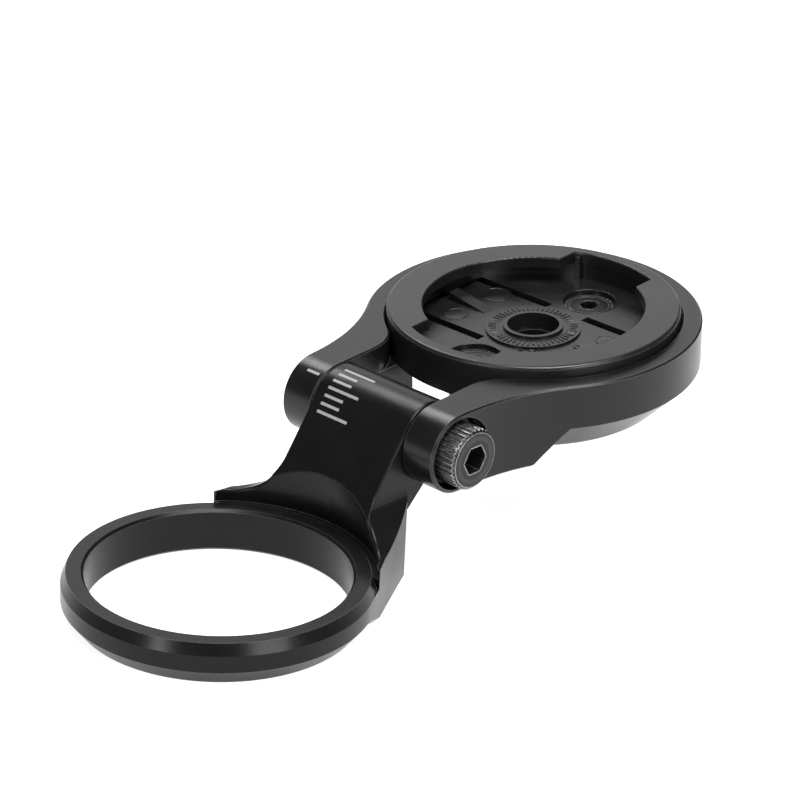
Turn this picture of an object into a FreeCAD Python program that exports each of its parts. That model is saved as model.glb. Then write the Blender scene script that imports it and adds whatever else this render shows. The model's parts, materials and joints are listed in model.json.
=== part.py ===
"""Steerer-mounted holder for a cycling computer, in millimetres, +Z up.

The origin is the centre of the steerer bore, half way up the ring.  +X points forwards to the
computer's seat.  The head (fork, insert and their screws) is drawn level, about its own axis,
and is then swung up about the hinge by head_tilt.
"""
import FreeCAD, Part
import os
import Sketcher

doc = FreeCAD.newDocument("computer_mount")
SIZES = doc.addObject("Spreadsheet::Sheet", "Dim")

DRIVING = {
    # ring that takes the place of a headset spacer
    "bore_radius": 14.4,
    "ring_radius": 16.85,
    "ring_top_radius": 16.3,
    "ring_height": 5.0,
    "shoulder_height": 1.25,
    "base_bevel_rise": 1.85,
    "base_bevel_width": 1.45,
    "bore_bevel": 0.3,
    # foot that carries the arm
    "plinth_rise": 1.0,
    "tab_front": 11.3,
    "flank_front": 8.2,
    "flank_half_width": 14.7,
    "flank_end": 11.9,
    "tip_distance": 22.1,
    "tip_shoulder": 22.0,
    "stem_radius": 17.05,
    "stem_taper": 7.0,
    "stem_step": 0.1,
    "flare_radius": 4.84,
    "flare_width": 5.0,
    "flare_height": 3.6,
    "flare_foot": 0.4,
    "flare_lead": 4.0,
    "flare_turn": 19.7,
    # arm and knuckle
    "hinge_x": 24.8,
    "hinge_z": 12.6,
    "knuckle_radius": 4.6,
    "knuckle_half": 7.0,
    "knuckle_bore": 2.05,
    "arm_lean": 35.0,
    "arm_face": 4.5,
    "arm_edge": 0.3,
    "rear_start": 20.3,
    "rear_half": 5.8,
    "rear_round": 2.5,
    # fork
    "head_tilt": 4.36,
    "head_reach": 25.1,
    "head_radius": 19.6,
    "lug_half": 11.5,
    "throat_half": 7.08,
    "neck_radius": 25.0,
    "wall_foot": 0.6,
    "seat_radius": 17.25,
    "seat_level": 1.2,
    "seat_lip": 6.0,
    "floor_radius": 15.3,
    "hollow_radius": 14.8,
    "screw_boss_radius": 3.0,
    "screw_boss_depth": 2.6,
    "hub_boss_radius": 5.0,
    "hub_boss_depth": 3.6,
    "hub_bore": 2.65,
    "fork_edge": 0.2,
    # hinge hardware
    "bolt_hole": 2.15,
    "bolt_radius": 1.98,
    "bolt_head_radius": 3.5,
    "bolt_head_height": 4.0,
    "bolt_front": 13.7,
    "bolt_end": 10.9,
    "bolt_rim": 0.35,
    "bolt_key": 1.5,
    "bolt_key_depth": 2.2,
    "knurl_count": 36.0,
    "knurl_depth": 0.16,
    "washer_thickness": 0.5,
    "washer_radius": 4.0,
    "counterbore_radius": 4.2,
    "thread_sleeve_radius": 2.6,
    "thread_sleeve_length": 4.0,
    # quarter-turn insert
    "insert_radius": 17.1,
    "insert_height": 4.7,
    "insert_round": 0.45,
    "mouth_radius": 12.9,
    "mouth_edge": 0.2,
    "lip_thickness": 1.3,
    "groove_radius": 15.5,
    "floor_thickness": 1.4,
    "notch_radius": 15.4,
    "notch_half": 5.8,
    "hub_ring_radius": 5.6,
    "hub_ring_rise": 0.26,
    "tongue_half": 6.0,
    "slot_width": 1.25,
    "slot_start": 2.7,
    "tongue_end": 13.6,
    "ridge_start": 6.75,
    "ridge_end": 12.6,
    "ridge_rise": 1.0,
    "ridge_width": 1.6,
    "screw_spacing": 10.1,
    "screw_head_radius": 2.8,
    "screw_head_height": 0.85,
    "screw_recess": 0.5,
    "recess_radius": 3.15,
    "screw_radius": 1.48,
    "screw_length": 4.6,
    "screw_key": 1.0,
    "screw_key_depth": 0.9,
    "ferrule_radius": 3.53,
    "ferrule_bore": 3.05,
    "ferrule_rise": 0.33,
}


def fill_sheet():
    for row, (alias, number) in enumerate(DRIVING.items(), start=1):
        SIZES.set(f"A{row}", alias)
        SIZES.set(f"B{row}", str(number))
        SIZES.setAlias(f"B{row}", alias)
    doc.recompute()


def size(expression):
    """Work out an expression of the sheet's cells, for a sketch's first guess."""
    gauge.setExpression("Reading", expression)
    gauge.recompute()
    return gauge.Reading


def make_body(label):
    body = doc.addObject("PartDesign::Body", label)
    body.Label = label
    return body


def origin_plane(body, role):
    return next(item for item in body.Origin.OriginFeatures if item.Role == role)


def new_sketch(body, name, role):
    sketch = body.newObject("Sketcher::SketchObject", name)
    sketch.AttachmentSupport = [(origin_plane(body, role), "")]
    sketch.MapMode = "FlatFace"
    return sketch


def bind(sketch, index, expression):
    sketch.setExpression(f"Constraints[{index}]", expression)


def place_point(sketch, geometry, end, x, y):
    """Hold one end of a line or arc at (x, y), each an expression."""
    for kind, along in (("DistanceX", x), ("DistanceY", y)):
        index = sketch.addConstraint(Sketcher.Constraint(kind, -1, 1, geometry, end, size(along)))
        bind(sketch, index, along)


def draw_loop(sketch, corners):
    """Draw a closed outline.

    Each corner is (x, y) or (x, y, radius, turn): with a radius, the edge that leaves the corner
    is an arc, and turn is +1 anticlockwise or -1 clockwise, doubled for an arc over half a circle.
    """
    places = [FreeCAD.Vector(size(c[0]), size(c[1]), 0) for c in corners]
    edges = []
    for number, corner in enumerate(corners):
        start = places[number]
        end = places[(number + 1) % len(corners)]
        if len(corner) == 2:
            edges.append((sketch.addGeometry(Part.LineSegment(start, end), False), 1, 2))
        else:
            edges.append(draw_arc(sketch, start, end, corner[2], corner[3]))
    for number, (geometry, first, last) in enumerate(edges):
        following, next_first, next_last = edges[(number + 1) % len(edges)]
        sketch.addConstraint(Sketcher.Constraint("Coincident", geometry, last, following, next_first))
    for number, (geometry, first, last) in enumerate(edges):
        place_point(sketch, geometry, first, corners[number][0], corners[number][1])


def draw_arc(sketch, start, end, radius, turn):
    chord = end - start
    middle = (start + end) * 0.5
    reach = size(radius)
    height = max(reach ** 2 - (chord.Length / 2) ** 2, 0.0) ** 0.5
    left = FreeCAD.Vector(-chord.y, chord.x, 0) * (1.0 / chord.Length)
    side = 1 if turn in (1, -2) else -1
    centre = middle + left * (height * side)
    circle = Part.Circle(centre, FreeCAD.Vector(0, 0, 1), reach)
    low, high = (start, end) if turn > 0 else (end, start)
    arc = Part.ArcOfCircle(circle, circle.parameter(low), circle.parameter(high))
    geometry = sketch.addGeometry(arc, False)
    index = sketch.addConstraint(Sketcher.Constraint("Radius", geometry, reach))
    bind(sketch, index, radius)
    return (geometry, 1, 2) if turn > 0 else (geometry, 2, 1)


def draw_circle(sketch, x, y, radius):
    circle = Part.Circle(FreeCAD.Vector(size(x), size(y), 0), FreeCAD.Vector(0, 0, 1), size(radius))
    geometry = sketch.addGeometry(circle, False)
    index = sketch.addConstraint(Sketcher.Constraint("Radius", geometry, size(radius)))
    bind(sketch, index, radius)
    place_point(sketch, geometry, 3, x, y)


def draw_hexagon(sketch, x, y, half_flats):
    """A hexagon held by its six corners, flats facing up and down."""
    reach = f"({half_flats}) / cos(30 deg)"
    corners = [(f"({x}) + {reach} * cos({60 * k} deg)", f"({y}) + {reach} * sin({60 * k} deg)")
               for k in range(6)]
    draw_loop(sketch, corners)


def pad(body, sketch, length, both_ways=False, reverse=False):
    feature = body.newObject("PartDesign::Pad", sketch.Name + "_pad")
    feature.Profile = sketch
    feature.setExpression("Length", length)
    feature.SideType = "Symmetric" if both_ways else "One side"
    feature.Reversed = reverse
    finish_feature(body, feature, 1)
    return feature


def pocket(body, sketch, length=None, reverse=False):
    """Cut a sketch's outline: through everything both ways, or to a length one way."""
    feature = body.newObject("PartDesign::Pocket", sketch.Name + "_cut")
    feature.Profile = sketch
    if length is None:
        feature.SideType = "Symmetric"
        feature.Type = "ThroughAll"
    else:
        feature.setExpression("Length", length)
        feature.Reversed = reverse
    finish_feature(body, feature, -1)
    return feature


def turn(body, sketch, adds=True, axis="V_Axis"):
    kind = "PartDesign::Revolution" if adds else "PartDesign::Groove"
    feature = body.newObject(kind, sketch.Name + "_turned")
    feature.Profile = sketch
    feature.ReferenceAxis = (sketch, [axis])
    feature.Angle = 360
    finish_feature(body, feature, 1 if adds else -1)
    return feature


def finish_feature(body, feature, sign):
    """Recompute, and stop if the feature did not add or remove material."""
    before = body.Shape.Volume if not body.Shape.isNull() and body.Shape.Solids else 0.0
    doc.recompute()
    if feature.Shape.isNull() or (feature.Shape.Volume - before) * sign <= 0:
        raise RuntimeError(f"{feature.Name} changed {before:.2f} to {feature.Shape.Volume:.2f}")


def soften(body, chosen, amount, kind="Chamfer"):
    """Chamfer or fillet the edges of the body that chosen(edge) picks."""
    base = body.Tip
    names = [f"Edge{n}" for n, edge in enumerate(base.Shape.Edges, start=1) if chosen(edge)]
    if not names:
        raise RuntimeError(f"no edge chosen on {body.Label}")
    feature = body.newObject(f"PartDesign::{kind}", f"{body.Label}_{kind.lower()}")
    feature.Base = (base, names)
    feature.setExpression("Size" if kind == "Chamfer" else "Radius", amount)
    doc.recompute()
    if not feature.Shape.isValid() or "Invalid" in feature.State:
        raise RuntimeError(f"{feature.Name} failed on {names}")
    return feature


def near(value, target, slack=0.01):
    return abs(value - target) < slack


def is_circle(edge, radius, axis=None):
    curve = edge.Curve
    if not isinstance(curve, Part.Circle) or not near(curve.Radius, radius):
        return False
    return axis is None or near(abs(curve.Axis.dot(axis)), 1.0, 1e-4)


X_AXIS = FreeCAD.Vector(1, 0, 0)
Y_AXIS = FreeCAD.Vector(0, 1, 0)
Z_AXIS = FreeCAD.Vector(0, 0, 1)


def set_on_head(item, x="0", z="0"):
    """Place an object drawn about the head's axis: swing it up about the hinge."""
    tilt = FreeCAD.Rotation(-Y_AXIS, size("Dim.head_tilt"))
    item.Placement = FreeCAD.Placement(FreeCAD.Vector(), tilt)
    along = f"(Dim.head_reach + {x})"
    item.setExpression("Placement.Base.x",
                       f"Dim.hinge_x + {along} * cos(Dim.head_tilt) - ({z}) * sin(Dim.head_tilt)")
    item.setExpression("Placement.Base.z",
                       f"Dim.hinge_z + {along} * sin(Dim.head_tilt) + ({z}) * cos(Dim.head_tilt)")
    item.setExpression("Placement.Rotation.Angle", "Dim.head_tilt")


def set_on_hinge(item):
    item.setExpression("Placement.Base.x", "Dim.hinge_x")
    item.setExpression("Placement.Base.z", "Dim.hinge_z")


# ---- ring, foot, arm and knuckle: one machined piece ---------------------------------------

def make_ring_arm():
    body = make_body("steerer_ring_arm")
    half = "Dim.ring_height / 2"
    plinth = "(Dim.ring_height / 2 + Dim.plinth_rise)"
    draw_arm_side(body, half, plinth)

    slope = "((Dim.flank_half_width - Dim.knuckle_half) / (Dim.tip_shoulder - Dim.flank_front))"
    plan = new_sketch(body, "foot_plan", "XY_Plane")
    for sign in ("", "-"):
        draw_loop(plan, [
            ("Dim.flank_front - 2", f"{sign}Dim.flank_half_width"),
            ("Dim.flank_front", f"{sign}Dim.flank_half_width"),
            ("Dim.tip_shoulder", f"{sign}Dim.knuckle_half"),
            ("Dim.hinge_x * 1.3", f"{sign}Dim.knuckle_half"),
            ("Dim.hinge_x * 1.3", f"{sign}Dim.flank_half_width * 1.2"),
            ("Dim.flank_front - 2", f"{sign}Dim.flank_half_width * 1.2"),
        ])
    pocket(body, plan)

    # below the knuckle the foot's tip is rounded and narrower
    rear = new_sketch(body, "rear_relief", "XY_Plane")
    rear.setExpression("AttachmentOffset.Base.z", "Dim.hinge_z - Dim.knuckle_radius")
    rear_y = f"(Dim.flank_half_width - {slope} * (Dim.rear_start - Dim.flank_front))"
    for sign, bend in (("", -1), ("-", 1)):
        draw_loop(rear, [
            ("Dim.rear_start", f"{sign}{rear_y}", "Dim.rear_round", bend),
            ("Dim.tip_shoulder", f"{sign}Dim.rear_half"),
            ("Dim.hinge_x * 1.3", f"{sign}Dim.rear_half"),
            ("Dim.hinge_x * 1.3", f"{sign}Dim.flank_half_width"),
            ("Dim.rear_start", f"{sign}Dim.flank_half_width"),
        ])
    pocket(body, rear, "2 * Dim.hinge_z")

    flare = new_sketch(body, "arm_flare", "YZ_Plane")
    lead_y = "(Dim.knuckle_half + Dim.flare_lead * (1 - cos(Dim.flare_turn * 1 deg)))"
    lead_z = f"({plinth} + Dim.flare_height + Dim.flare_lead * sin(Dim.flare_turn * 1 deg))"
    tab_y = f"(Dim.flank_half_width - {slope} * (Dim.tab_front - Dim.flank_front))"
    for sign, bend in (("", 1), ("-", -1)):
        draw_loop(flare, [
            (f"{sign}Dim.knuckle_half", lead_z, "Dim.flare_lead", bend),
            (f"{sign}{lead_y}", f"{plinth} + Dim.flare_height", "Dim.flare_radius", bend),
            (f"{sign}(Dim.knuckle_half + Dim.flare_width)", f"{plinth} + Dim.flare_foot"),
            (f"{sign}{tab_y}", plinth),
            (f"{sign}Dim.flank_half_width * 1.2", plinth),
            (f"{sign}Dim.flank_half_width * 1.2", "Dim.hinge_z * 1.6"),
            (f"{sign}Dim.knuckle_half", "Dim.hinge_z * 1.6"),
        ])
    pocket(body, flare)

    stem = new_sketch(body, "stem_clearance", "XZ_Plane")
    stem_floor = f"({half} - Dim.stem_step)"
    stem_top = f"(Dim.stem_radius - (Dim.hinge_z * 1.6 - {stem_floor}) * tan(Dim.stem_taper * 1 deg))"
    draw_loop(stem, [("0", stem_floor), ("Dim.stem_radius", stem_floor),
                     (stem_top, "Dim.hinge_z * 1.6"), ("0", "Dim.hinge_z * 1.6")])
    turn(body, stem, adds=False)
    for sign in ("", "-"):
        cut_flank(body, sign, half, slope)

    ring = new_sketch(body, "ring_section", "XZ_Plane")
    draw_loop(ring, [
        ("Dim.bore_radius", f"-{half}"),
        ("Dim.ring_radius - Dim.base_bevel_width", f"-{half}"),
        ("Dim.ring_radius", f"-{half} + Dim.base_bevel_rise"),
        ("Dim.ring_radius", f"{half} - Dim.shoulder_height"),
        ("Dim.ring_top_radius", half),
        ("Dim.bore_radius", half),
    ])
    turn(body, ring)

    bore = new_sketch(body, "steerer_bore", "XY_Plane")
    draw_circle(bore, "0", "0", "Dim.bore_radius")
    pocket(body, bore)
    hinge = new_sketch(body, "hinge_bore", "XZ_Plane")
    draw_circle(hinge, "Dim.hinge_x", "Dim.hinge_z", "Dim.knuckle_bore")
    pocket(body, hinge)

    radius = size("Dim.bore_radius")
    soften(body, lambda edge: is_circle(edge, radius, Z_AXIS), "Dim.bore_bevel")
    knuckle = size("Dim.knuckle_radius")
    width = size("Dim.knuckle_half")
    face = FreeCAD.Vector(size("sin(Dim.arm_lean * 1 deg)"), 0, size("cos(Dim.arm_lean * 1 deg)"))
    taper = size("tan(Dim.stem_taper * 1 deg)")
    cut = size("Dim.stem_radius") + size(stem_floor) * taper
    level = size(f"{plinth} + Dim.flare_foot")
    soften(body, lambda edge: climbs_cut(edge, cut, taper, level) or borders_side(edge, width)
           and (is_circle(edge, knuckle, Y_AXIS) or runs_along(edge, face)),
           "Dim.arm_edge", "Fillet")
    return body


def draw_arm_side(body, half, plinth):
    """The arm seen from the side: foot, leaning front face, knuckle and 45 degree rear face."""
    lean = "(Dim.arm_lean * 1 deg)"
    base_x = f"(Dim.hinge_x - Dim.arm_face * cos({lean}))"
    base_z = f"(Dim.hinge_z + Dim.arm_face * sin({lean}))"
    climb = "sqrt(Dim.knuckle_radius ^ 2 - Dim.arm_face ^ 2)"
    corner = "Dim.knuckle_radius * cos(45 deg)"
    foot = f"({plinth} + 2 * Dim.flare_foot)"
    side = new_sketch(body, "arm_side", "XZ_Plane")
    draw_loop(side, [
        ("Dim.flank_front", f"-{half}"),
        ("Dim.tip_distance", f"-{half}"),
        ("Dim.tip_distance", f"Dim.hinge_z - 2 * {corner} - Dim.hinge_x + Dim.tip_distance"),
        (f"Dim.hinge_x + {corner}", f"Dim.hinge_z - {corner}", "Dim.knuckle_radius", 1),
        ("Dim.hinge_x", "Dim.hinge_z + Dim.knuckle_radius", "Dim.knuckle_radius", 1),
        (f"{base_x} + {climb} * sin({lean})", f"{base_z} + {climb} * cos({lean})"),
        (f"{base_x} - ({base_z} - {foot}) * tan({lean})", foot),
        ("Dim.tab_front", foot),
        ("Dim.tab_front", f"{half} - Dim.shoulder_height"),
        ("Dim.flank_front", f"{half} - Dim.shoulder_height"),
    ])
    pad(body, side, "2 * Dim.flank_half_width", both_ways=True)


def cut_flank(body, sign, half, slope):
    """Run the ring's lower bevel out along one flank of the foot."""
    inner = "Dim.ring_radius - Dim.base_bevel_width"
    sections = []
    for name, along, low_y, rise in (
            ("flank_first", "Dim.flank_front",
             f"sqrt(({inner}) ^ 2 - Dim.flank_front ^ 2)", "Dim.base_bevel_rise"),
            ("flank_last", "Dim.flank_end",
             f"(Dim.flank_half_width - {slope} * (Dim.flank_end - Dim.flank_front) - 0.02)", "0.02")):
        label = name + ("_left" if sign == "" else "_right")
        section = new_sketch(body, label, "YZ_Plane")
        section.setExpression("AttachmentOffset.Base.z", along)
        high_y = f"(Dim.flank_half_width - {slope} * ({along} - Dim.flank_front))"
        draw_loop(section, [
            (f"{sign}{low_y}", f"-{half}"),
            (f"{sign}({high_y} + 0.4)", f"-{half}"),
            (f"{sign}({high_y} + 0.4)", f"-{half} + {rise}"),
            (f"{sign}{high_y}", f"-{half} + {rise}"),
        ])
        sections.append(section)
    loft = body.newObject("PartDesign::SubtractiveLoft", sections[0].Name + "_loft")
    loft.Profile = sections[0]
    loft.Sections = [sections[1]]
    loft.Ruled = True
    finish_feature(body, loft, -1)


def borders_side(edge, width):
    return all(near(abs(vertex.Point.y), width) for vertex in edge.Vertexes)


def climbs_cut(edge, radius, taper, level):
    """An edge on the stem clearance that rises from the plinth."""
    ends = [vertex.Point for vertex in edge.Vertexes]
    on_cut = all(near((point.x ** 2 + point.y ** 2) ** 0.5 + point.z * taper, radius, 0.02)
                 for point in ends)
    return on_cut and min(point.z for point in ends) > level - 0.01 and not near(
        ends[0].z, ends[-1].z, 0.1)


def runs_along(edge, direction):
    if not isinstance(edge.Curve, Part.Line):
        return False
    return near(abs(edge.tangentAt(edge.FirstParameter).dot(direction)), 1.0, 1e-4)


# ---- fork that carries the insert; drawn about the head's axis, at the hinge's height ------

def make_fork():
    body = make_body("computer_fork")
    lug = "Dim.knuckle_radius"
    reach = "(Dim.head_radius + Dim.neck_radius)"
    neck_y = "(Dim.lug_half + Dim.neck_radius)"
    neck_x = f"sqrt({reach} ^ 2 - {neck_y} ^ 2)"
    join_x = f"-{neck_x} * Dim.head_radius / {reach}"
    join_y = f"{neck_y} * Dim.head_radius / {reach}"
    end_x = f"-Dim.head_reach - {lug}"

    outline = new_sketch(body, "fork_outline", "XY_Plane")
    draw_loop(outline, [
        (end_x, "-Dim.lug_half"),
        (f"-{neck_x}", "-Dim.lug_half", "Dim.neck_radius", -1),
        (join_x, f"-{join_y}", "Dim.head_radius", 2),
        (join_x, join_y, "Dim.neck_radius", -1),
        (f"-{neck_x}", "Dim.lug_half"),
        (end_x, "Dim.lug_half"),
    ])
    pad(body, outline, f"2 * {lug}", both_ways=True)

    # under the head the sides stop at wall_foot; a 45 degree face ends the deep part of each arm
    step_x = "-Dim.seat_radius * 0.67"
    under = new_sketch(body, "under_step", "XZ_Plane")
    draw_loop(under, [
        (step_x, "-Dim.wall_foot"),
        (f"{step_x} - 2 * {lug} + Dim.wall_foot", f"-2 * {lug}"),
        ("1.2 * Dim.head_radius", f"-2 * {lug}"),
        ("1.2 * Dim.head_radius", "-Dim.wall_foot"),
    ])
    pocket(body, under)
    dish = new_sketch(body, "dish_section", "XZ_Plane")
    bottom = f"(Dim.head_radius - {lug} + Dim.wall_foot)"
    draw_loop(dish, [("0", f"-{lug}"), (bottom, f"-{lug}"),
                     ("Dim.head_radius", "-Dim.wall_foot"), ("0", "-Dim.wall_foot")])
    turn(body, dish)

    ends = new_sketch(body, "lug_rounds", "XZ_Plane")
    draw_loop(ends, [
        ("-Dim.head_reach", f"{lug}"),
        ("-Dim.head_reach", f"1.5 * {lug}"),
        (f"-Dim.head_reach - 1.5 * {lug}", f"1.5 * {lug}"),
        (f"-Dim.head_reach - 1.5 * {lug}", f"-1.5 * {lug}"),
        ("-Dim.head_reach", f"-1.5 * {lug}"),
        ("-Dim.head_reach", f"-{lug}", lug, -1),
        (end_x, "0", lug, -1),
    ])
    pocket(body, ends)

    throat = new_sketch(body, "throat", "XY_Plane")
    meet = "-sqrt(Dim.floor_radius ^ 2 - Dim.throat_half ^ 2)"
    draw_loop(throat, [
        ("-Dim.head_reach * 1.3", "-Dim.throat_half"),
        (meet, "-Dim.throat_half", "Dim.floor_radius", -1),
        (meet, "Dim.throat_half"),
        ("-Dim.head_reach * 1.3", "Dim.throat_half"),
    ])
    pocket(body, throat)

    hollow = new_sketch(body, "under_hollow", "XY_Plane")
    draw_circle(hollow, "0", "0", "Dim.hollow_radius")
    pocket(body, hollow, f"{lug} + 1")
    open_rear = new_sketch(body, "throat_under", "XY_Plane")
    draw_loop(open_rear, [("-Dim.head_reach * 1.3", "-Dim.throat_half"),
                          ("-Dim.floor_radius * 0.8", "-Dim.throat_half"),
                          ("-Dim.floor_radius * 0.8", "Dim.throat_half"),
                          ("-Dim.head_reach * 1.3", "Dim.throat_half")])
    pocket(body, open_rear, f"{lug} + 1")
    seat = new_sketch(body, "insert_seat", "XY_Plane")
    seat.setExpression("AttachmentOffset.Base.z", "Dim.seat_level")
    draw_circle(seat, "0", "0", "Dim.seat_radius")
    pocket(body, seat, f"{lug}", reverse=True)

    bosses = new_sketch(body, "screw_bosses", "XY_Plane")
    for sign in ("", "-"):
        draw_circle(bosses, f"{sign}Dim.screw_spacing", "0", "Dim.screw_boss_radius")
    pad(body, bosses, "Dim.screw_boss_depth", reverse=True)
    hub = new_sketch(body, "hub_boss", "XY_Plane")
    draw_circle(hub, "0", "0", "Dim.hub_boss_radius")
    pad(body, hub, "Dim.hub_boss_depth", reverse=True)
    holes = new_sketch(body, "floor_holes", "XY_Plane")
    draw_circle(holes, "0", "0", "Dim.hub_bore")
    for sign in ("", "-"):
        draw_circle(holes, f"{sign}Dim.screw_spacing", "0", "Dim.screw_radius + 0.02")
    pocket(body, holes)

    cross = new_sketch(body, "bolt_hole", "XZ_Plane")
    draw_circle(cross, "-Dim.head_reach", "0", "Dim.bolt_hole")
    pocket(body, cross)
    sleeve = new_sketch(body, "sleeve_hole", "XZ_Plane")
    draw_circle(sleeve, "-Dim.head_reach", "0", "Dim.thread_sleeve_radius + 0.02")
    pocket(body, sleeve, "Dim.lug_half + 1")
    recess = new_sketch(body, "bolt_recess", "XZ_Plane")
    floor = "(Dim.bolt_front - Dim.bolt_head_height - Dim.washer_thickness)"
    recess.setExpression("AttachmentOffset.Base.z", floor)
    draw_circle(recess, "-Dim.head_reach", "0", "Dim.counterbore_radius")
    pocket(body, recess, "Dim.lug_half", reverse=True)

    throat_x = size("-sqrt(Dim.seat_radius ^ 2 - Dim.throat_half ^ 2)")
    soften(body, lambda edge: is_upright(edge, throat_x), "Dim.seat_lip", "Fillet")
    level = size(lug)
    soften(body, lambda edge: lies_at(edge, level) and not runs_along(edge, Y_AXIS),
           "Dim.fork_edge")
    set_on_head(body)
    return body


def lies_at(edge, level):
    """An edge that lies in the horizontal plane at this level."""
    middle = edge.valueAt((edge.FirstParameter + edge.LastParameter) / 2)
    return near(middle.z, level) and all(near(vertex.Point.z, level) for vertex in edge.Vertexes)


def is_upright(edge, x):
    """A straight edge along Z at this x, above the seat's floor."""
    if not isinstance(edge.Curve, Part.Line) or len(edge.Vertexes) != 2:
        return False
    first, last = (vertex.Point for vertex in edge.Vertexes)
    return near(first.x, x) and near(last.x, x) and min(first.z, last.z) > 0.5


# ---- moulded insert that the computer's two tabs turn into; drawn up from its seat ----------

def make_insert():
    body = make_body("quarter_turn_insert")
    lip = "(Dim.insert_height - Dim.lip_thickness)"
    hub_top = "(Dim.floor_thickness + Dim.hub_ring_rise)"
    hub_bore = "(Dim.ferrule_radius + 0.02)"
    section = new_sketch(body, "insert_section", "XZ_Plane")
    draw_loop(section, [
        (hub_bore, "0"),
        ("Dim.insert_radius", "0"),
        ("Dim.insert_radius", "Dim.insert_height - Dim.insert_round", "Dim.insert_round", 1),
        ("Dim.insert_radius - Dim.insert_round", "Dim.insert_height"),
        ("Dim.mouth_radius", "Dim.insert_height"),
        ("Dim.mouth_radius", lip),
        ("Dim.groove_radius", lip),
        ("Dim.groove_radius", "Dim.floor_thickness"),
        ("Dim.hub_ring_radius", "Dim.floor_thickness"),
        ("Dim.hub_ring_radius", hub_top),
        (hub_bore, hub_top),
    ])
    turn(body, section)

    notches = new_sketch(body, "tab_notches", "XY_Plane")
    notches.setExpression("AttachmentOffset.Base.z", lip)
    edge_x = "sqrt(Dim.notch_radius ^ 2 - Dim.notch_half ^ 2)"
    inner_x = "(Dim.mouth_radius * 0.8)"
    draw_loop(notches, [(inner_x, "-Dim.notch_half"),
                        (edge_x, "-Dim.notch_half", "Dim.notch_radius", 1),
                        (edge_x, "Dim.notch_half"), (inner_x, "Dim.notch_half")])
    draw_loop(notches, [(f"-{inner_x}", "Dim.notch_half"),
                        (f"-{edge_x}", "Dim.notch_half", "Dim.notch_radius", 1),
                        (f"-{edge_x}", "-Dim.notch_half"), (f"-{inner_x}", "-Dim.notch_half")])
    pocket(body, notches, "Dim.lip_thickness + 1", reverse=True)

    # each tongue is freed by two long slots and one across its end
    slots = new_sketch(body, "tongue_slots", "XY_Plane")
    slots.setExpression("AttachmentOffset.Base.z", "Dim.floor_thickness")
    near_x = "(Dim.tongue_half - Dim.slot_width / 2)"
    far_x = "(Dim.tongue_half + Dim.slot_width / 2)"
    outer_y = "(Dim.tongue_end + Dim.slot_width)"
    for sign in ("", "-"):
        draw_loop(slots, [
            (f"-{far_x}", f"{sign}Dim.slot_start"), (f"-{near_x}", f"{sign}Dim.slot_start"),
            (f"-{near_x}", f"{sign}Dim.tongue_end"), (near_x, f"{sign}Dim.tongue_end"),
            (near_x, f"{sign}Dim.slot_start"), (far_x, f"{sign}Dim.slot_start"),
            (far_x, f"{sign}{outer_y}"), (f"-{far_x}", f"{sign}{outer_y}"),
        ])
    pocket(body, slots, "2 * Dim.floor_thickness")

    for name, sign in (("left_ridge", ""), ("right_ridge", "-")):
        ridge = new_sketch(body, name, "YZ_Plane")
        draw_loop(ridge, [(f"{sign}Dim.ridge_start", "Dim.floor_thickness"),
                          (f"{sign}Dim.ridge_end", "Dim.floor_thickness"),
                          (f"{sign}Dim.ridge_end", "Dim.floor_thickness + Dim.ridge_rise")])
        pad(body, ridge, "Dim.ridge_width", both_ways=True)

    recess = new_sketch(body, "screw_recess", "XY_Plane")
    recess.setExpression("AttachmentOffset.Base.z", "Dim.floor_thickness")
    for sign in ("", "-"):
        draw_circle(recess, f"{sign}Dim.screw_spacing", "0", "Dim.recess_radius")
    pocket(body, recess, "Dim.screw_recess")
    for name, sign in (("front_sink", ""), ("rear_sink", "-")):
        sink = body.newObject("PartDesign::SubtractiveCone", name)
        sink.setExpression("Radius1", "Dim.screw_radius + 0.02")
        sink.setExpression("Radius2", "Dim.screw_head_radius + 0.02")
        sink.setExpression("Height", "Dim.screw_head_height")
        sink.setExpression("Placement.Base.x", f"{sign}Dim.screw_spacing")
        sink.setExpression("Placement.Base.z",
                           "Dim.floor_thickness - Dim.screw_recess - Dim.screw_head_height")
        doc.recompute()
    shafts = new_sketch(body, "screw_holes", "XY_Plane")
    for sign in ("", "-"):
        draw_circle(shafts, f"{sign}Dim.screw_spacing", "0", "Dim.screw_radius + 0.02")
    pocket(body, shafts)
    level = size("Dim.insert_height")
    rim = size("(Dim.notch_radius + Dim.insert_radius) / 2")
    soften(body, lambda edge: lies_at(edge, level) and edge.Vertexes[0].Point.Length < rim,
           "Dim.mouth_edge", "Fillet")
    set_on_head(body, z="Dim.seat_level")
    return body


# ---- turned pieces --------------------------------------------------------------------------

def make_turned(label, corners, key=None):
    """A piece turned about the Z axis of its own frame, with a hexagon socket if key is given.

    key is (half the width across flats, depth, level of the head's face).
    """
    body = make_body(label)
    section = new_sketch(body, label + "_section", "XZ_Plane")
    draw_loop(section, corners)
    turn(body, section)
    if key:
        half_flats, depth, face = key
        socket = new_sketch(body, label + "_socket", "XY_Plane")
        socket.setExpression("AttachmentOffset.Base.z", face)
        draw_hexagon(socket, "0", "0", half_flats)
        pocket(body, socket, depth)
    return body


def make_insert_screw(label, sign):
    """Countersunk screw; its frame's origin is the middle of the head's face, pointing down."""
    body = make_turned(label, [
        ("0", "0"),
        ("0", "-Dim.screw_length"),
        ("Dim.screw_radius", "-Dim.screw_length"),
        ("Dim.screw_radius", "-Dim.screw_head_height"),
        ("Dim.screw_head_radius", "0"),
    ], key=("Dim.screw_key", "Dim.screw_key_depth", "0"))
    set_on_head(body, x=f"{sign}Dim.screw_spacing",
                z="Dim.seat_level + Dim.floor_thickness - Dim.screw_recess")
    return body


def make_tube(label, inner, outer, length):
    return make_turned(label, [(inner, "0"), (outer, "0"), (outer, length), (inner, length)])


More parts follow.
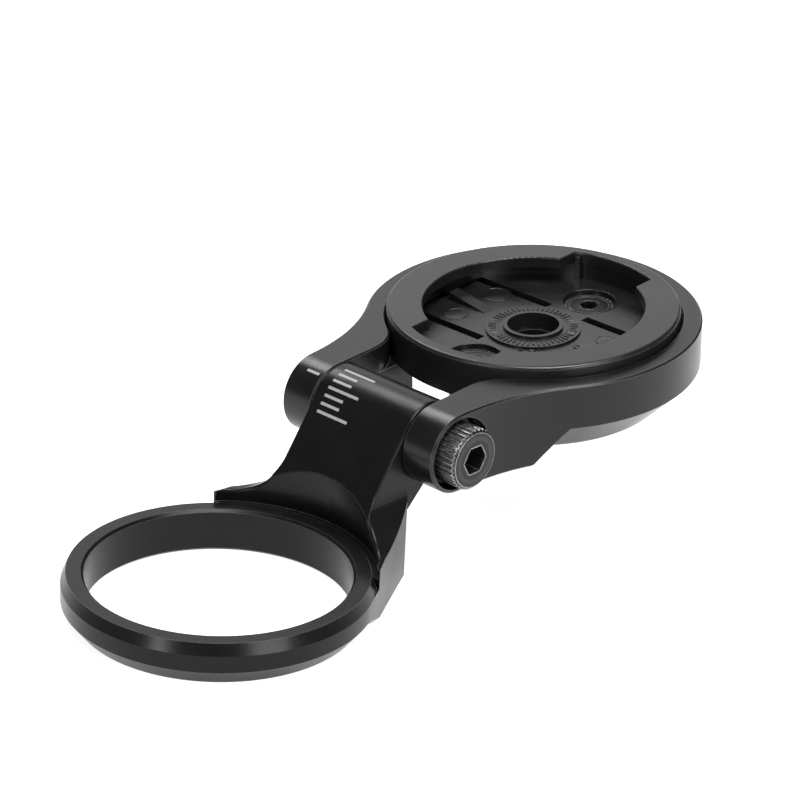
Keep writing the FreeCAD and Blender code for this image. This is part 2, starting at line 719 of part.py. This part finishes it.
def make_ferrule():
    length = "(Dim.floor_thickness + Dim.hub_ring_rise + Dim.ferrule_rise)"
    body = make_tube("hub_ferrule", "Dim.ferrule_bore", "Dim.ferrule_radius", length)
    set_on_head(body, z="Dim.seat_level")
    return body


def lay_along_hinge(item, y):
    """Turn a piece drawn along Z to lie along the hinge, its Z towards -Y, starting at y."""
    item.Placement = FreeCAD.Placement(FreeCAD.Vector(), FreeCAD.Rotation(X_AXIS, 90))
    set_on_hinge(item)
    item.setExpression("Placement.Base.y", y)


def make_pinch_bolt():
    """Socket-head bolt; drawn with the head's face up at bolt_front."""
    seat = "(Dim.bolt_front - Dim.bolt_head_height)"
    body = make_turned("pinch_bolt", [
        ("0", "Dim.bolt_front"),
        ("0", "-Dim.bolt_end"),
        ("Dim.bolt_radius - Dim.bolt_rim", "-Dim.bolt_end"),
        ("Dim.bolt_radius", "-Dim.bolt_end + Dim.bolt_rim"),
        ("Dim.bolt_radius", seat),
        ("Dim.bolt_head_radius", seat),
        ("Dim.bolt_head_radius", "Dim.bolt_front - Dim.bolt_rim"),
        ("Dim.bolt_head_radius - Dim.bolt_rim", "Dim.bolt_front"),
    ], key=("Dim.bolt_key", "Dim.bolt_key_depth", "Dim.bolt_front"))
    groove = new_sketch(body, "knurl_groove", "XY_Plane")
    groove.setExpression("AttachmentOffset.Base.z", f"{seat} + Dim.bolt_rim")
    half = "(pi * Dim.bolt_head_radius / Dim.knurl_count * 0.8)"
    draw_loop(groove, [
        (f"Dim.bolt_head_radius - Dim.knurl_depth", "0"),
        (f"Dim.bolt_head_radius + Dim.knurl_depth", f"-{half} * 2"),
        (f"Dim.bolt_head_radius + Dim.knurl_depth", f"{half} * 2"),
    ])
    first = pocket(body, groove, "Dim.bolt_head_height", reverse=True)
    around = body.newObject("PartDesign::PolarPattern", "knurl")
    around.Originals = [first]
    around.Axis = (groove, ["N_Axis"])
    around.Angle = 360
    around.setExpression("Occurrences", "Dim.knurl_count")
    body.Tip = around
    doc.recompute()
    lay_along_hinge(body, "0")
    return body


def make_hinge_rings():
    floor = "(Dim.bolt_front - Dim.bolt_head_height - Dim.washer_thickness)"
    washer = make_tube("pinch_washer", "Dim.bolt_hole", "Dim.washer_radius",
                       "Dim.washer_thickness")
    lay_along_hinge(washer, f"-{floor}")
    sleeve = make_tube("lug_thread_sleeve", "Dim.bolt_radius + 0.02", "Dim.thread_sleeve_radius",
                       "Dim.thread_sleeve_length")
    lay_along_hinge(sleeve, "Dim.throat_half + 0.2 + Dim.thread_sleeve_length")
    return [washer, sleeve]


def write_parts(bodies):
    doc.recompute()
    for item in doc.Objects:
        if "Invalid" in item.State or "Error" in item.State:
            raise RuntimeError(f"{item.Name} is {item.State}")
    os.makedirs("parts", exist_ok=True)
    for body in bodies:
        shape = body.Shape
        if shape.isNull() or not shape.isValid() or not shape.Solids:
            raise RuntimeError(f"{body.Label} has no sound solid")
        shape.exportStep(f"parts/{body.Label}.step")
        box = shape.BoundBox
        print(f"{body.Label}: {shape.Volume:.1f} mm3, x {box.XMin:.2f}..{box.XMax:.2f}, "
              f"y {box.YMin:.2f}..{box.YMax:.2f}, z {box.ZMin:.2f}..{box.ZMax:.2f}")


fill_sheet()
gauge = doc.addObject("App::FeaturePython", "Gauge")
gauge.addProperty("App::PropertyFloat", "Reading")
pieces = [make_ring_arm(), make_fork(), make_insert()]
pieces += [make_insert_screw("insert_screw_front", ""), make_insert_screw("insert_screw_rear", "-")]
pieces += [make_ferrule(), make_pinch_bolt()]
pieces += make_hinge_rings()
write_parts(pieces)
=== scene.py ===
"""Looks of the computer mount: materials, small moulded and marked details, stage and light."""
import json
import math

import bmesh
import bpy
from mathutils import Matrix, Vector


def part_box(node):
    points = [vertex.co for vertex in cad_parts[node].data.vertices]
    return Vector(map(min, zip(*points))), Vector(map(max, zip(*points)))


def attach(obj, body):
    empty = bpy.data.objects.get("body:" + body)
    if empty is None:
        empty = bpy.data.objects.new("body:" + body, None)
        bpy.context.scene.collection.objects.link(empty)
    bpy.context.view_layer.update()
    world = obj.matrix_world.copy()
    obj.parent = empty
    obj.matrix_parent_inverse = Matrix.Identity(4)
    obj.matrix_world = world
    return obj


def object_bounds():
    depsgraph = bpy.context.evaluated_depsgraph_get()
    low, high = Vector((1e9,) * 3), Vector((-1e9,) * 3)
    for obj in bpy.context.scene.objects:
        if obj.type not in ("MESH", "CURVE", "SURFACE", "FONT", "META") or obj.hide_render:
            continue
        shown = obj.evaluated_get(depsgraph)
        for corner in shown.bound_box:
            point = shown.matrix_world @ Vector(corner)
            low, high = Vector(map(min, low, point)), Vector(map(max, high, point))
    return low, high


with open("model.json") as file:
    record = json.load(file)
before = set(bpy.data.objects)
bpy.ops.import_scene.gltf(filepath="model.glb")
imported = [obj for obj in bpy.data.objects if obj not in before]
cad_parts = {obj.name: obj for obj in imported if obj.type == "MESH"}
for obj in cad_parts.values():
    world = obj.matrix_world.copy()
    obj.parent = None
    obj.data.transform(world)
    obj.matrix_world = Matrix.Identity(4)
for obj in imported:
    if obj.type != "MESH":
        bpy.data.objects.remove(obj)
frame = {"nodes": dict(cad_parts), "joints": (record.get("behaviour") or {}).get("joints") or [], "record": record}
CAD_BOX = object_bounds()
NODES = frame["nodes"]
MOUNTS = {mount["name"]: mount for mount in frame["record"]["mounts"]}
HINGE = Vector(frame["joints"][0]["pos_m"])
MM = 0.001

# the head's own frame, from the bore in the insert's hub
HEAD_CENTRE = Vector(MOUNTS["hub_bore"]["pos_m"])
HEAD_UP = Vector(MOUNTS["hub_bore"]["axis"])
LEFT = Vector((0, 1, 0))
HEAD_FORWARD = LEFT.cross(HEAD_UP)

# sizes in mm and degrees; levels are above the middle of the hub's bore, and reaches from it
FLOOR_LEVEL = 0.405
HUB_LEVEL = 0.665
SCREW_LEVEL = -0.095
SCREW_REACH = 10.1
HUB_RIBS = 52
HUB_RIB_INNER, HUB_RIB_OUTER, HUB_RIB_SHORT = 4.35, 5.25, 5.0
HUB_LINE_RADIUS = 4.1
PIN_MARKS = ((4.1, 9.4, 1.75), (-3.2, 9.3, 1.4), (3.2, -8.3, 1.1), (-3.4, -9.2, 1.5))
PIPS = ((-0.4, -7.0), (-4.6, -3.9))
PIP_RADIUS = 0.4
STOP_ANGLE = 20.0
STOP_INNER, STOP_OUTER, STOP_WIDTH, STOP_HEIGHT = 14.75, 15.55, 0.6, 2.9
POCKET_LIP_RADIUS = 3.3
SCREW_RING_RADII = (1.32, 2.35)
# the leaning face's normal, and how far short of it the knuckle's round stops
ARM_NORMAL = 145.0
LEAN_MEETS = 12.0
# the bars' starts are down the surface from the knuckle's top, their ends across from its middle
GRADUATIONS, LONG_EVERY = 7, 3
LONG_BAR, SHORT_BAR, BAR_WIDTH, BAR_PITCH = 4.6, 2.8, 0.34, 0.98
FIRST_BAR, BAR_SIDE = 0.55, 5.6
BAR_STEPS = 5
INDEX_START, INDEX_INNER, INDEX_OUTER = 2.6, 7.75, 9.6
# depth that a detail is sunk into its surface, and height of a printed mark
SUNK = 0.03
INK = 0.012
# radians that a wave texture of scale 1 turns through in each unit of length
WAVE_TURN = 20.0


# ---- shader building ------------------------------------------------------------------------

class Shader:
    """A material with a Principled surface, and short ways to wire its inputs."""

    def __init__(self, name):
        self.material = bpy.data.materials.new(name)
        self.material.use_nodes = True
        self.tree = self.material.node_tree
        self.surface = self.tree.nodes["Principled BSDF"]
        self.place = self.add("ShaderNodeTexCoord").outputs["Object"]

    def add(self, kind, **settings):
        node = self.tree.nodes.new(kind)
        for key, value in settings.items():
            setattr(node, key, value)
        return node

    def feed(self, socket, source):
        """Give a socket a plain value, or link it to another node's output."""
        if isinstance(source, bpy.types.NodeSocket):
            self.tree.links.new(source, socket)
        else:
            socket.default_value = source

    def maths(self, operation, first, second, clamp=False):
        node = self.add("ShaderNodeMath", operation=operation, use_clamp=clamp)
        self.feed(node.inputs[0], first)
        self.feed(node.inputs[1], second)
        return node.outputs[0]

    def noise(self, grain, detail=2.0, stretch=(1.0, 1.0, 1.0)):
        """Noise whose features are about grain metres across."""
        place = self.add("ShaderNodeMapping")
        self.feed(place.inputs["Vector"], self.place)
        place.inputs["Scale"].default_value = stretch
        node = self.add("ShaderNodeTexNoise")
        self.feed(node.inputs["Vector"], place.outputs["Vector"])
        node.inputs["Scale"].default_value = 1.0 / grain
        node.inputs["Detail"].default_value = detail
        return node.outputs["Fac"]

    def spread(self, source, low, high, start=0.3, end=0.7):
        """Map a 0 to 1 pattern onto a range of values."""
        node = self.add("ShaderNodeMapRange")
        self.feed(node.inputs["Value"], source)
        node.inputs["From Min"].default_value = start
        node.inputs["From Max"].default_value = end
        node.inputs["To Min"].default_value = low
        node.inputs["To Max"].default_value = high
        return node.outputs["Result"]

    def blend(self, share, first, second):
        """Mix two colours; share is how much of the second there is."""
        node = self.add("ShaderNodeMix", data_type="RGBA")
        self.feed(node.inputs["Factor"], share)
        self.feed(node.inputs["A"], first)
        self.feed(node.inputs["B"], second)
        return node.outputs["Result"]

    def edges(self, width, start=0.02, end=0.25):
        """1 along sharp edges, 0 elsewhere."""
        rounded = self.add("ShaderNodeBevel", samples=4)
        rounded.inputs["Radius"].default_value = width
        flat = self.add("ShaderNodeNewGeometry")
        facing = self.add("ShaderNodeVectorMath", operation="DOT_PRODUCT")
        self.feed(facing.inputs[0], rounded.outputs["Normal"])
        self.feed(facing.inputs[1], flat.outputs["Normal"])
        turned = self.maths("SUBTRACT", 1.0, facing.outputs["Value"], clamp=True)
        return self.spread(turned, 0.0, 1.0, start, end)

    def rings(self, centre, axis, step):
        """Turning marks round an axis, in a wave that turns by a radian in each step."""
        across = self.add("ShaderNodeVectorMath", operation="SUBTRACT")
        self.feed(across.inputs[0], self.place)
        across.inputs[1].default_value = centre
        spin = axis.to_track_quat("Z", "Y").inverted().to_euler()
        level = self.add("ShaderNodeMapping")
        self.feed(level.inputs["Vector"], across.outputs["Vector"])
        level.inputs["Rotation"].default_value = spin
        wave = self.add("ShaderNodeTexWave", wave_type="RINGS", rings_direction="Z")
        self.feed(wave.inputs["Vector"], level.outputs["Vector"])
        wave.inputs["Scale"].default_value = 1.0 / (step * WAVE_TURN)
        wave.inputs["Distortion"].default_value = 0.6
        return wave.outputs["Fac"]

    def bump(self, height, depth, strength):
        node = self.add("ShaderNodeBump")
        node.inputs["Strength"].default_value = strength
        node.inputs["Distance"].default_value = depth
        self.feed(node.inputs["Height"], height)
        self.feed(self.surface.inputs["Normal"], node.outputs["Normal"])

    def set(self, **values):
        """Give the surface plain values or linked patterns, by short names."""
        names = {"colour": "Base Color", "metal": "Metallic", "rough": "Roughness",
                 "ior": "IOR", "specular": "Specular IOR Level"}
        for key, value in values.items():
            self.feed(self.surface.inputs[names[key]], value)


def grey(level, warmth=0.0):
    """A grey; warmth above 0 leans to red and below 0 to blue."""
    return (level * (1 + warmth), level, level * (1 - warmth), 1.0)


def anodised(name, centre, axis, wear_and_highlight_width, gloss):
    """Satin black anodising over turned and milled aluminium, paler near an edge over the given width in mm: part
    edge wear, part painted highlight.
    """
    look = Shader(name)
    edge_wear_and_highlight = look.edges(wear_and_highlight_width * MM)
    cloud = look.noise(6 * MM)
    body = look.blend(cloud, grey(0.0030, -0.02), grey(0.0055, -0.02))
    # painted highlight: the pale grey along edges is part wear, part a painted stand-in for light caught on the
    # chamfers
    look.set(colour=look.blend(look.maths("MULTIPLY", edge_wear_and_highlight, 0.7), body, grey(0.16)))
    grain = look.noise(0.07 * MM, detail=1.0)
    cut = look.rings(centre, axis, step=0.12 * MM)
    look.set(rough=look.spread(cloud, 0.24, 0.32), ior=1.5, specular=gloss)
    relief = look.maths("ADD", look.maths("MULTIPLY", grain, 0.8),
                        look.maths("MULTIPLY", cut, 0.35))
    look.bump(relief, 0.004 * MM, 0.5)
    return look.material


def moulded(name):
    """Black glass-filled nylon with a fine mould texture and faint flow streaks."""
    look = Shader(name)
    cloud = look.noise(4 * MM, detail=3.0, stretch=(1.0, 0.35, 1.0))
    look.set(colour=look.blend(cloud, grey(0.0045), grey(0.009)))
    look.set(rough=look.spread(cloud, 0.22, 0.36), ior=1.5, specular=0.34)
    look.bump(look.noise(0.12 * MM, detail=3.0), 0.006 * MM, 0.6)
    return look.material


def black_oxide(name, centre, axis, wear_and_highlight_width):
    """Turned black-oxide steel, brighter near an edge over the given width in mm: part rubbed wear, part painted
    highlight.
    """
    look = Shader(name)
    edge_wear_and_highlight = look.edges(wear_and_highlight_width * MM, 0.005, 0.12)
    speck = look.noise(0.3 * MM, detail=4.0)
    # painted highlight: the bright grey on edges is part rubbed wear, part a painted stand-in for light caught on
    # the rim and knurl
    rubbed_wear_and_highlight = look.maths("MULTIPLY", edge_wear_and_highlight, look.spread(speck, 0.4, 1.0))
    cut = look.rings(centre, axis, step=0.16 * MM)
    body = look.blend(look.maths("MULTIPLY", cut, speck), grey(0.022), grey(0.065))
    look.set(colour=look.blend(rubbed_wear_and_highlight, body, grey(0.6)), metal=0.9)
    look.set(rough=look.spread(speck, 0.28, 0.45))
    relief = look.maths("ADD", look.noise(0.08 * MM), look.maths("MULTIPLY", cut, 0.7))
    look.bump(relief, 0.005 * MM, 0.6)
    return look.material


def bare_steel(name):
    """Plain turned stainless steel, coloured much darker than bare steel as painted shade."""
    look = Shader(name)
    speck = look.noise(0.5 * MM, detail=4.0)
    # painted shade: the dark steel colour stands for the shade in the recess round the bolt
    look.set(colour=look.blend(speck, grey(0.08), grey(0.16)), metal=1.0)
    look.set(rough=look.spread(speck, 0.24, 0.38))
    look.bump(look.noise(0.05 * MM), 0.003 * MM, 0.5)
    return look.material


def printed(name):
    """Pale grey marking burnt into the anodising."""
    look = Shader(name)
    speck = look.noise(0.1 * MM, detail=3.0)
    look.set(colour=look.blend(speck, grey(0.16), grey(0.24)), rough=0.5)
    return look.material


def paint(node, material):
    """Give a CAD node its material."""
    mesh = NODES[node].data
    mesh.materials.clear()
    mesh.materials.append(material)


# ---- pieces ---------------------------------------------------------------------------------

def finish_piece(name, made, body, material, smooth=True):
    """Turn a bmesh into a named piece that rides on a body."""
    mesh = bpy.data.meshes.new(name)
    bmesh.ops.recalc_face_normals(made, faces=made.faces)
    made.to_mesh(mesh)
    made.free()
    for polygon in mesh.polygons:
        polygon.use_smooth = smooth
    mesh.materials.append(material)
    piece = bpy.data.objects.new(name, mesh)
    bpy.context.collection.objects.link(piece)
    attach(piece, body)


def on_head(x, y, rise):
    """A place in the head's own frame, in mm from the middle of the hub's bore."""
    return HEAD_CENTRE + (HEAD_FORWARD * x + LEFT * y + HEAD_UP * rise) * MM


def around_hinge(angle, y, radius):
    """A place on a cylinder about the hinge, in mm; 0 degrees is forwards and 90 is up."""
    turned = math.radians(angle)
    return HINGE + Vector((math.cos(turned) * radius, y, math.sin(turned) * radius)) * MM


def join_rows(made, rows, closed):
    """Skin a list of equal rows of points, each row a closed profile."""
    verts = [[made.verts.new(point) for point in row] for row in rows]
    pairs = list(zip(verts, verts[1:]))
    if closed:
        pairs.append((verts[-1], verts[0]))
    for first, second in pairs:
        count = len(first)
        for k in range(count):
            made.faces.new((first[k], first[(k + 1) % count], second[(k + 1) % count], second[k]))
    if not closed:
        made.faces.new(verts[0])
        made.faces.new(list(reversed(verts[-1])))


def add_ridge(made, x, y, radius, width, level, rise, steps=72):
    """A low rounded ridge along a circle on the insert's floor."""
    profile = [(-0.5, -SUNK), (-0.42, rise * 0.7), (-0.2, rise), (0.2, rise), (0.42, rise * 0.7),
               (0.5, -SUNK)]
    rows = []
    for k in range(steps):
        turned = 2 * math.pi * k / steps
        row = [on_head(x + (radius + share * width) * math.cos(turned),
                       y + (radius + share * width) * math.sin(turned), level + height)
               for share, height in profile]
        rows.append(row)
    join_rows(made, rows, closed=True)


def add_disc(made, x, y, radius, level, rise, steps=40):
    """A shallow raised disc with a soft shoulder."""
    rows = []
    for share, height in ((1.0, -SUNK), (0.97, rise * 0.6), (0.9, rise)):
        rows.append([on_head(x + radius * share * math.cos(2 * math.pi * k / steps),
                             y + radius * share * math.sin(2 * math.pi * k / steps), level + height)
                     for k in range(steps)])
    join_rows(made, rows, closed=False)


def add_rib(made, angle, inner, outer, width, level, rise):
    """A short raised rib that points away from the hub's bore."""
    turned = math.radians(angle)
    out = (math.cos(turned), math.sin(turned))
    rows = []
    for radius in (inner, outer):
        row = []
        for side, height in ((-0.5, -SUNK), (-0.3, rise), (0.3, rise), (0.5, -SUNK)):
            across = side * width
            row.append(on_head(out[0] * radius - out[1] * across, out[1] * radius + out[0] * across,
                               level + height))
        rows.append(row)
    join_rows(made, rows, closed=False)


def make_hub_ring(material):
    """Moulded ring of plain ribs round the hub."""
    made = bmesh.new()
    for k in range(HUB_RIBS):
        angle = 360.0 * k / HUB_RIBS
        outer = HUB_RIB_OUTER if k % 4 else HUB_RIB_SHORT
        add_rib(made, angle, HUB_RIB_INNER, outer, width=0.3, level=HUB_LEVEL, rise=0.09)
    add_ridge(made, 0, 0, HUB_LINE_RADIUS, width=0.14, level=HUB_LEVEL, rise=0.05)
    finish_piece("hub_rib_ring", made, "head", material, smooth=False)


def make_mould_marks(material):
    """Round marks that ejector pins leave on the insert's floor, and two small pips."""
    made = bmesh.new()
    for x, y, radius in PIN_MARKS:
        add_disc(made, x, y, radius, level=FLOOR_LEVEL, rise=0.03)
        add_ridge(made, x, y, radius, width=0.22, level=FLOOR_LEVEL, rise=0.07, steps=48)
    for x, y in PIPS:
        add_disc(made, x, y, PIP_RADIUS, level=FLOOR_LEVEL, rise=0.12, steps=20)
    finish_piece("floor_mould_marks", made, "head", material)


def make_tab_stops(material):
    """Upright ribs on the insert's inner wall that stop the computer's tabs."""
    made = bmesh.new()
    for angle in (STOP_ANGLE, STOP_ANGLE + 180.0):
        add_rib(made, angle, STOP_INNER, STOP_OUTER, STOP_WIDTH, FLOOR_LEVEL, STOP_HEIGHT)
    finish_piece("tab_stops", made, "head", material, smooth=False)


def make_screw_lip(name, x, material):
    """The moulded lip round a screw's pocket."""
    made = bmesh.new()
    add_ridge(made, x, 0, POCKET_LIP_RADIUS, width=0.26, level=FLOOR_LEVEL, rise=0.07)
    finish_piece(name, made, "head", material)


def make_screw_face(name, x, material):
    """Turned rings on a screw's face."""
    made = bmesh.new()
    inner, outer = SCREW_RING_RADII
    add_ridge(made, x, 0, inner, width=0.2, level=SCREW_LEVEL, rise=0.06, steps=48)
    add_ridge(made, x, 0, outer, width=0.12, level=SCREW_LEVEL, rise=0.03)
    finish_piece(name, made, "head", material)


def surface_path(start, end, y, radius):
    """Points and normals down the knuckle's round top and on down the arm's leaning face.

    start and end are lengths in mm from the top of the knuckle.
    """
    lean_start = math.radians(ARM_NORMAL - LEAN_MEETS - 90.0) * radius
    turned = math.radians(ARM_NORMAL)
    lean_normal = Vector((math.cos(turned), 0.0, math.sin(turned)))
    lean_down = Vector((-math.sin(turned), 0.0, math.cos(turned)))
    path = []
    for k in range(BAR_STEPS + 1):
        along = start + (end - start) * k / BAR_STEPS
        angle = 90.0 + math.degrees(min(along, lean_start) / radius)
        point = around_hinge(angle, y, radius)
        if along > lean_start:
            path.append((point + lean_down * (along - lean_start) * MM, lean_normal))
        else:
            path.append((point, (point - around_hinge(angle, y, 0.0)).normalized()))
    return path


def add_bar(made, start, end, y_low, y_high, radius):
    """A thin marked bar that lies on the knuckle."""
    rows = []
    for (low, normal), (high, _) in zip(surface_path(start, end, y_low, radius),
                                        surface_path(start, end, y_high, radius)):
        rows.append([low - normal * SUNK * MM, low + normal * INK * MM,
                     high + normal * INK * MM, high - normal * SUNK * MM])
    join_rows(made, rows, closed=False)


def make_tilt_scale(material):
    """Plain graduations on the knuckle, and the index line on the lug that they pass."""
    radius = (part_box("steerer_ring_arm")[1].z - HINGE.z) / MM
    scale = bmesh.new()
    for k in range(GRADUATIONS):
        length = SHORT_BAR if k % LONG_EVERY else LONG_BAR
        start = FIRST_BAR + BAR_PITCH * k
        add_bar(scale, start, start + BAR_WIDTH, BAR_SIDE - length, BAR_SIDE, radius)
    finish_piece("tilt_scale", scale, "ring", material, smooth=False)
    index = bmesh.new()
    add_bar(index, INDEX_START, INDEX_START + BAR_WIDTH, INDEX_INNER, INDEX_OUTER, radius)
    finish_piece("tilt_index", index, "head", material, smooth=False)


# ---- stage, light and camera ------------------------------------------------------------------

def bearing(azimuth, elevation):
    """The way from the object to a bearing in degrees; azimuth 0 is -Y and 90 is +X."""
    a, e = math.radians(azimuth), math.radians(elevation)
    return Vector((math.sin(a) * math.cos(e), -math.cos(a) * math.cos(e), math.sin(e)))


def add_floor(level):
    """A wide pale floor that glows to near white, and that is clear when seen from beneath."""
    made = bmesh.new()
    bmesh.ops.create_grid(made, x_segments=8, y_segments=8, size=10.0)
    mesh = bpy.data.meshes.new("floor")
    made.to_mesh(mesh)
    made.free()
    floor = bpy.data.objects.new("floor", mesh)
    floor.location.z = level
    bpy.context.collection.objects.link(floor)
    look = Shader("pale_floor")
    look.set(colour=grey(0.42), rough=0.9, specular=0.0)
    look.surface.inputs["Emission Color"].default_value = grey(1.0)
    look.surface.inputs["Emission Strength"].default_value = 0.86
    behind = look.add("ShaderNodeNewGeometry").outputs["Backfacing"]
    clear = look.add("ShaderNodeBsdfTransparent").outputs["BSDF"]
    mix = look.add("ShaderNodeMixShader")
    look.feed(mix.inputs[0], behind)
    look.feed(mix.inputs[1], look.surface.outputs["BSDF"])
    look.feed(mix.inputs[2], clear)
    look.feed(look.tree.nodes["Material Output"].inputs["Surface"], mix.outputs["Shader"])
    mesh.materials.append(look.material)


def add_softbox(name, azimuth, elevation, distance, width, height, power):
    """A rectangular light at a bearing from the object's middle, facing it."""
    data = bpy.data.lights.new(name, "AREA")
    data.shape = "RECTANGLE"
    data.size = width
    data.size_y = height
    data.energy = power
    lamp = bpy.data.objects.new(name, data)
    towards = bearing(azimuth, elevation)
    middle = (CAD_BOX[0] + CAD_BOX[1]) / 2
    lamp.location = middle + towards * distance
    lamp.rotation_mode = "QUATERNION"
    lamp.rotation_quaternion = towards.to_track_quat("Z", "Y")
    bpy.context.collection.objects.link(lamp)


def add_world(level):
    """Even grey light from all round."""
    world = bpy.data.worlds.new("studio")
    world.use_nodes = True
    world.node_tree.nodes["Background"].inputs["Color"].default_value = grey(level)
    bpy.context.scene.world = world


def add_camera(azimuth, elevation, roll, distance, target, lens):
    """A camera at a bearing from its target, rolled anticlockwise; angles in degrees."""
    data = bpy.data.cameras.new("camera")
    data.lens = lens
    data.sensor_width = 36.0
    data.clip_start, data.clip_end = 0.01, 10.0
    camera = bpy.data.objects.new("camera", data)
    turn, tip = math.radians(azimuth), math.radians(roll)
    back = bearing(azimuth, elevation)
    right = Vector((math.cos(turn), math.sin(turn), 0.0))
    up = back.cross(right)
    across = right * math.cos(tip) + up * math.sin(tip)
    above = up * math.cos(tip) - right * math.sin(tip)
    turned = Matrix((across, above, back)).transposed().to_4x4()
    camera.matrix_world = Matrix.Translation(target + back * distance) @ turned
    bpy.context.collection.objects.link(camera)
    bpy.context.scene.camera = camera


# ---- making -----------------------------------------------------------------------------------

# painted highlight: the edge widths given below set where edges are painted paler, part wear and part highlight
paint("steerer_ring_arm",
      anodised("satin_black_ring", Vector((0, 0, 0)), Vector((0, 0, 1)), wear_and_highlight_width=0.09, gloss=0.16))
paint("computer_fork",
      anodised("satin_black_fork", HEAD_CENTRE, HEAD_UP, wear_and_highlight_width=0.18, gloss=0.28))
nylon = moulded("moulded_black")
paint("quarter_turn_insert", nylon)
paint("hub_ferrule", nylon)
paint("pinch_bolt", black_oxide("black_oxide_bolt", HINGE, LEFT, wear_and_highlight_width=0.24))
# painted shade: these steel parts are coloured dark for the shade in the recess round the bolt
for part in ("pinch_washer", "lug_thread_sleeve"):
    paint(part, bare_steel("steel_" + part))

make_hub_ring(nylon)
make_mould_marks(nylon)
make_tab_stops(nylon)
for end, place in (("front", SCREW_REACH), ("rear", -SCREW_REACH)):
    middle = on_head(place, 0, SCREW_LEVEL)
    steel = black_oxide("black_oxide_" + end, middle, HEAD_UP, wear_and_highlight_width=0.07)
    paint("insert_screw_" + end, steel)
    make_screw_lip("screw_lip_" + end, place, nylon)
    make_screw_face("screw_face_" + end, place, steel)
make_tilt_scale(printed("pale_marking"))

add_floor(CAD_BOX[0].z - 0.05 * MM)
add_world(0.10)
add_softbox("back_softbox", azimuth=140.0, elevation=26.0, distance=1.2,
            width=1.5, height=0.7, power=3.8)
add_softbox("high_softbox", azimuth=157.0, elevation=48.0, distance=1.2,
            width=0.5, height=0.16, power=4.4)
add_softbox("top_softbox", azimuth=-20.0, elevation=75.0, distance=1.2,
            width=0.8, height=0.8, power=26.0)
add_softbox("left_strip", azimuth=-84.6, elevation=21.0, distance=1.0,
            width=0.16, height=0.30, power=3.2)
add_softbox("right_strip", azimuth=-7.6, elevation=21.0, distance=1.0,
            width=0.45, height=0.30, power=6.0)
add_camera(azimuth=-47.56, elevation=23.75, roll=2.8, distance=0.30009,
           target=Vector((0.0194, -0.0072, 0.0191)), lens=125.77)
bpy.context.scene.view_settings.view_transform = "Standard"
